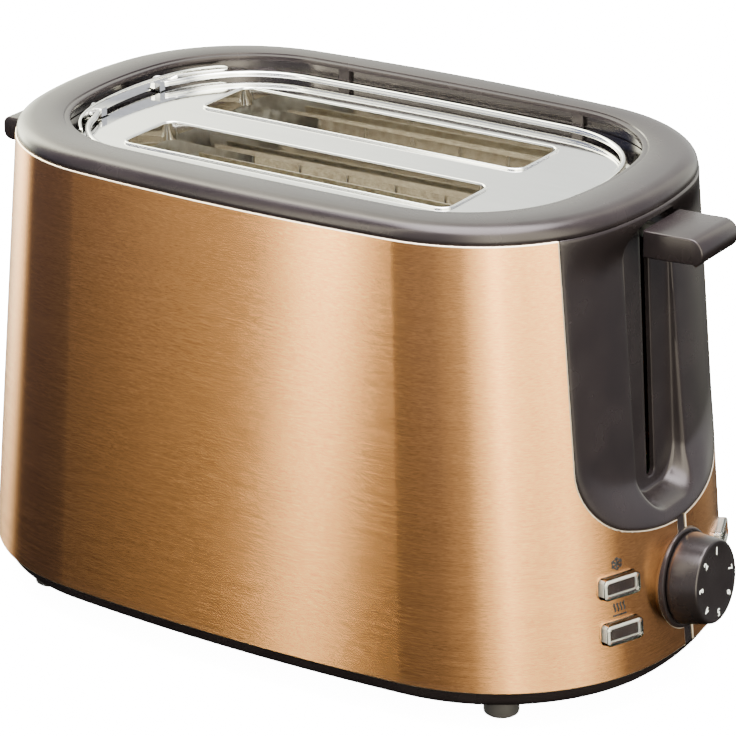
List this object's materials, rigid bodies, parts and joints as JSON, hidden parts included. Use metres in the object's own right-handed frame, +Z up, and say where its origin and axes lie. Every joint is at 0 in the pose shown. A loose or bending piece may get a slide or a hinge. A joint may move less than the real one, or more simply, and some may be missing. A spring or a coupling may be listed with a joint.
{
  "type": "pop up toaster",
  "caption": "Two-slot pop up toaster with a tapered oval copper-tone steel body, black top ring and end panel, side lever, browning knob, push buttons and a lifting bun rack.",
  "frame": {"origin": "on the floor under the centre of the whole object's box", "axes": "+X out of the control end, +Y across the body away from the side that carries two buttons, +Z up"},
  "size_m": [0.2983, 0.1708, 0.1789],
  "materials": {
    "copper_wrap": "fine horizontal brushing, copper tinted, satin",
    "black_plastic": "fine satin texture, warm black",
    "knob_plastic": "satin, warm black, white numerals",
    "polished_steel": "mirror polish",
    "zinc_steel": "zinc plated, dull",
    "mica": "flaky mineral sheet",
    "nichrome": "oxidised heating ribbon",
    "clear_plastic": "clear, polished",
    "button_core": "dark brown, glossy",
    "circuit_board": "green solder mask",
    "magnet_wire": "enamelled copper winding",
    "rubber": "matte black"
  },
  "bodies": {
    "shell": {"base_pan": "black_plastic", "steel_wrap": "copper_wrap", "end_panel": "black_plastic", "top_ring": "black_plastic", "top_plate": "polished_steel", "chassis_end_front": "zinc_steel", "chassis_end_rear": "zinc_steel", "reflector_1": "polished_steel", "reflector_2": "polished_steel", "heater_card_1": "mica", "heater_card_2": "mica", "heater_card_3": "mica", "heater_card_4": "mica", "heating_ribbon_1": "nichrome", "heating_ribbon_2": "nichrome", "heating_ribbon_3": "nichrome", "heating_ribbon_4": "nichrome", "guide_rod": "zinc_steel", "magnet_core": "zinc_steel", "magnet_coil": "magnet_wire", "carriage_spring": "zinc_steel", "control_board": "circuit_board", "potentiometer": "circuit_board", "defrost_switch": "rubber", "reheat_switch": "rubber", "stop_switch": "rubber", "foot_1": "rubber", "foot_2": "rubber", "foot_3": "rubber", "foot_4": "rubber", "base_screw_1": "zinc_steel", "base_screw_2": "zinc_steel", "base_screw_3": "zinc_steel", "base_screw_4": "zinc_steel", "cord_gland": "rubber", "bun_lever_bezel": "black_plastic"},
    "carriage": {"carriage_bracket": "zinc_steel", "armature_plate": "zinc_steel", "lever_handle": "black_plastic", "bread_support_1": "zinc_steel", "bread_support_2": "zinc_steel"},
    "guard_1": {"bread_guard_1": "polished_steel"},
    "guard_2": {"bread_guard_2": "polished_steel"},
    "guard_3": {"bread_guard_3": "polished_steel"},
    "guard_4": {"bread_guard_4": "polished_steel"},
    "knob": {"browning_knob": "knob_plastic", "browning_shaft": "zinc_steel"},
    "defrost_button": {"defrost_button_cap": "clear_plastic", "defrost_button_core": "button_core"},
    "reheat_button": {"reheat_button_cap": "clear_plastic", "reheat_button_core": "button_core"},
    "stop_button": {"stop_button_cap": "clear_plastic", "stop_button_core": "button_core"},
    "bun_rack": {"wire_rack": "polished_steel", "rack_bracket": "polished_steel"},
    "bun_lever": {"bun_lever": "black_plastic"},
    "pinion": {"rack_pinion": "zinc_steel"},
    "crumb_tray": {"crumb_tray": "black_plastic"}
  },
  "joints": [
    {"name": "carriage_slide", "type": "slide", "parent": "shell", "child": "carriage", "axis": [0, 0, -1], "range_m": [0, 0.08], "stiffness_N_per_m": 60, "springref_m": -0.03, "deforming": ["carriage_spring"]},
    {"name": "guard_hinge_1", "type": "hinge", "parent": "shell", "child": "guard_1", "pos_m": [-0.00698, -0.0373, 0.044], "axis": [-1, 0, 0], "range_deg": [0, 4.01]},
    {"name": "guard_hinge_2", "type": "hinge", "parent": "shell", "child": "guard_2", "pos_m": [-0.00698, -0.0113, 0.044], "axis": [1, 0, 0], "range_deg": [0, 4.01]},
    {"name": "guard_hinge_3", "type": "hinge", "parent": "shell", "child": "guard_3", "pos_m": [-0.00698, 0.0113, 0.044], "axis": [-1, 0, 0], "range_deg": [0, 4.01]},
    {"name": "guard_hinge_4", "type": "hinge", "parent": "shell", "child": "guard_4", "pos_m": [-0.00698, 0.0373, 0.044], "axis": [1, 0, 0], "range_deg": [0, 4.01]},
    {"name": "knob_turn", "type": "hinge", "parent": "shell", "child": "knob", "pos_m": [0.13544, 0, 0.0392], "axis": [0.9944, 0, 0.1059], "range_deg": [0, 270]},
    {"name": "defrost_press", "type": "slide", "parent": "shell", "child": "defrost_button", "axis": [-0.9216, 0.3734, -0.1059], "range_m": [0, 0.0024], "stiffness_N_per_m": 400},
    {"name": "reheat_press", "type": "slide", "parent": "shell", "child": "reheat_button", "axis": [-0.9202, 0.3768, -0.1059], "range_m": [0, 0.0024], "stiffness_N_per_m": 400},
    {"name": "stop_press", "type": "slide", "parent": "shell", "child": "stop_button", "axis": [-0.9285, -0.356, -0.1059], "range_m": [0, 0.0024], "stiffness_N_per_m": 400},
    {"name": "rack_lift", "type": "slide", "parent": "shell", "child": "bun_rack", "axis": [0, 0, 1], "range_m": [0, 0.03456]},
    {"name": "bun_lever_slide", "type": "slide", "parent": "shell", "child": "bun_lever", "axis": [0, 0, -1], "range_m": [0, 0.03466]},
    {"name": "pinion_turn", "type": "hinge", "parent": "shell", "child": "pinion", "pos_m": [-0.10898, 0, 0.12], "axis": [0, -1, 0], "range_deg": [0, 248]},
    {"name": "tray_slide", "type": "slide", "parent": "shell", "child": "crumb_tray", "axis": [-1, 0, 0], "range_m": [0, 0.18]}
  ],
  "couplings": [
    {"joint": "guard_hinge_1", "follows": "carriage_slide", "rad_per_m": 0.87267},
    {"joint": "guard_hinge_2", "follows": "carriage_slide", "rad_per_m": 0.87267},
    {"joint": "guard_hinge_3", "follows": "carriage_slide", "rad_per_m": 0.87267},
    {"joint": "guard_hinge_4", "follows": "carriage_slide", "rad_per_m": 0.87267},
    {"joint": "bun_lever_slide", "follows": "rack_lift", "ratio": 1},
    {"joint": "pinion_turn", "follows": "rack_lift", "rad_per_m": 125}
  ]
}
